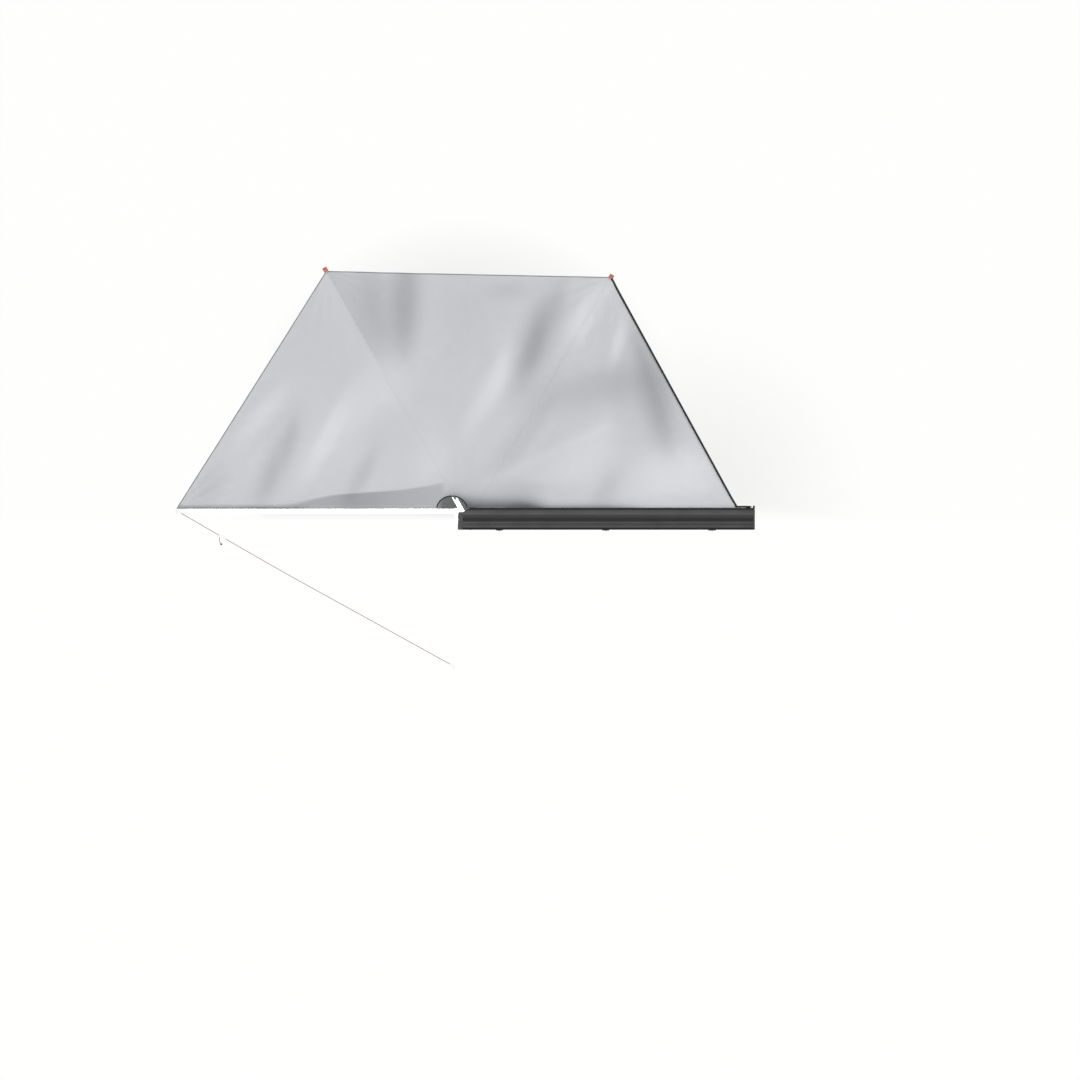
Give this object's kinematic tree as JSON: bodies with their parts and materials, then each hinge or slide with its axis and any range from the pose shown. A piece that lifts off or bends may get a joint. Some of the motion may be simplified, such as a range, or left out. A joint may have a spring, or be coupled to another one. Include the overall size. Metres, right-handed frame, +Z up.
{
  "type": "vehicle side awning",
  "caption": "Hard-case fan awning for a vehicle's roof rack: hinged cover, coupled swinging arms, folding telescopic legs, fabric canopy and guy rope, shown open.",
  "frame": {"origin": "centre of the middle rack bracket's back face, where it meets the rack", "axes": "+X towards the front of the vehicle along the case, +Y outward from the vehicle, +Z up"},
  "size_m": [5.1541, 3.5884, 0.2865],
  "materials": {
    "black_coat": "satin black powder coat on extruded aluminium",
    "black_steel": "satin black powder coat on steel",
    "black_plastic": "moulded black plastic",
    "rubber": "black rubber",
    "silver_aluminium": "bright anodised aluminium",
    "zinc_steel": "zinc-plated steel",
    "bronze": "sintered bronze",
    "orange_plastic": "orange-red moulded plastic",
    "white_plastic": "white moulded plastic",
    "grey_canvas": "light grey coated canvas",
    "black_webbing": "black woven webbing",
    "red_rope": "red braided cord",
    "white_metal": "bright plated wire"
  },
  "bodies": {
    "case": {"case_body": "black_coat", "rear_end_cap": "black_plastic", "front_end_cap": "black_plastic", "rear_rack_bracket": "black_steel", "middle_rack_bracket": "black_steel", "front_rack_bracket": "black_steel", "rear_rack_bolt": "zinc_steel", "middle_rack_bolt": "zinc_steel", "front_rack_bolt": "zinc_steel", "hub_bracket": "silver_aluminium", "hub_lower_bolt": "zinc_steel", "hub_upper_bolt": "zinc_steel", "rear_pivot_bolt": "zinc_steel", "middle_pivot_bolt": "zinc_steel", "front_pivot_bolt": "zinc_steel", "arm_rest": "rubber", "strap_anchor": "zinc_steel", "cover_hinge_rod": "zinc_steel", "canopy_front": "grey_canvas", "front_edge_strap": "black_webbing"},
    "cover": {"front_cover": "black_coat", "cover_seal": "rubber"},
    "rear_latch_body": {"rear_latch": "black_plastic"},
    "front_latch_body": {"front_latch": "black_plastic"},
    "rear_swing": {"rear_arm": "silver_aluminium", "rear_knuckle": "silver_aluminium", "rear_bush": "bronze", "rear_tip": "white_plastic", "rear_leg_pin": "zinc_steel", "canopy_rear": "grey_canvas", "guy_rope": "red_rope", "rope_tensioner": "white_plastic", "rope_tail": "red_rope", "rope_hook": "white_metal"},
    "rear_leg": {"rear_leg_outer": "silver_aluminium", "rear_leg_clamp": "black_plastic"},
    "rear_leg_slider": {"rear_leg_inner": "silver_aluminium", "rear_leg_foot": "rubber"},
    "rear_lever": {"rear_clamp_lever": "orange_plastic"},
    "middle_swing": {"middle_arm": "silver_aluminium", "middle_knuckle": "silver_aluminium", "middle_bush": "bronze", "middle_tip": "orange_plastic", "middle_leg_pin": "zinc_steel", "canopy_middle": "grey_canvas"},
    "middle_leg": {"middle_leg_outer": "silver_aluminium", "middle_leg_clamp": "black_plastic"},
    "middle_leg_slider": {"middle_leg_inner": "silver_aluminium", "middle_leg_foot": "rubber"},
    "middle_lever": {"middle_clamp_lever": "orange_plastic"},
    "front_swing": {"front_arm": "silver_aluminium", "front_knuckle": "silver_aluminium", "front_bush": "bronze", "front_tip": "orange_plastic", "front_leg_pin": "zinc_steel"},
    "front_leg": {"front_leg_outer": "silver_aluminium", "front_leg_clamp": "black_plastic"},
    "front_leg_slider": {"front_leg_inner": "silver_aluminium", "front_leg_foot": "rubber"},
    "front_lever": {"front_clamp_lever": "orange_plastic"}
  },
  "joints": [
    {"name": "rear_arm_swing", "type": "hinge", "parent": "case", "child": "rear_swing", "pos_m": [-1.32742, 0.173, 0.12], "axis": [0, 0, 1], "range_deg": [-180, 0], "deforming": ["canopy_rear", "canopy_middle", "canopy_front", "front_edge_strap", "guy_rope", "rope_tail"]},
    {"name": "middle_arm_swing", "type": "hinge", "parent": "case", "child": "middle_swing", "pos_m": [-1.25451, 0.129, 0.12], "axis": [0, 0, 1], "range_deg": [-119.57, 0]},
    {"name": "front_arm_swing", "type": "hinge", "parent": "case", "child": "front_swing", "pos_m": [-1.232, 0.085, 0.12], "axis": [0, 0, 1], "range_deg": [-59.55, 0]},
    {"name": "front_cover_hinge", "type": "hinge", "parent": "case", "child": "cover", "pos_m": [0, 0.2125, 0.046], "axis": [-1, 0, 0], "range_deg": [-180, 0]},
    {"name": "rear_latch_turn", "type": "hinge", "parent": "cover", "child": "rear_latch_body", "pos_m": [-0.75, 0.2125, -0.068], "axis": [0, -1, 0], "range_deg": [-90, 0]},
    {"name": "front_latch_turn", "type": "hinge", "parent": "cover", "child": "front_latch_body", "pos_m": [0.85, 0.2125, -0.068], "axis": [0, -1, 0], "range_deg": [-90, 0]},
    {"name": "rear_leg_fold", "type": "hinge", "parent": "rear_swing", "child": "rear_leg", "pos_m": [-3.77741, 0.173, 0.118], "axis": [0, 1, 0], "range_deg": [0, 90]},
    {"name": "rear_leg_extend", "type": "slide", "parent": "rear_leg", "child": "rear_leg_slider", "axis": [1, 0, 0], "range_m": [0, 0.85]},
    {"name": "rear_lever_flip", "type": "hinge", "parent": "rear_leg", "child": "rear_lever", "pos_m": [-2.58492, 0.173, 0.0965], "axis": [0, -1, 0], "range_deg": [0, 110]},
    {"name": "middle_leg_fold", "type": "hinge", "parent": "middle_swing", "child": "middle_leg", "pos_m": [-2.48329, 2.29469, 0.118], "axis": [0.8698, 0.4935, 0], "range_deg": [0, 90]},
    {"name": "middle_leg_extend", "type": "slide", "parent": "middle_leg", "child": "middle_leg_slider", "axis": [0.4935, -0.8698, 0], "range_m": [0, 0.85]},
    {"name": "middle_lever_flip", "type": "hinge", "parent": "middle_leg", "child": "middle_lever", "pos_m": [-1.8948, 1.25751, 0.0965], "axis": [-0.8698, -0.4935, 0], "range_deg": [0, 110]},
    {"name": "front_leg_fold", "type": "hinge", "parent": "front_swing", "child": "front_leg", "pos_m": [0.0299, 2.23156, 0.118], "axis": [0.8621, -0.5068, 0], "range_deg": [0, 90]},
    {"name": "front_leg_extend", "type": "slide", "parent": "front_leg", "child": "front_leg_slider", "axis": [-0.5068, -0.8621, 0], "range_m": [0, 0.85]},
    {"name": "front_lever_flip", "type": "hinge", "parent": "front_leg", "child": "front_lever", "pos_m": [-0.57444, 1.20354, 0.0965], "axis": [-0.8621, 0.5068, 0], "range_deg": [0, 110]}
  ],
  "couplings": [
    {"joint": "middle_arm_swing", "follows": "rear_arm_swing", "ratio": 0.66427},
    {"joint": "front_arm_swing", "follows": "rear_arm_swing", "ratio": 0.33083}
  ]
}
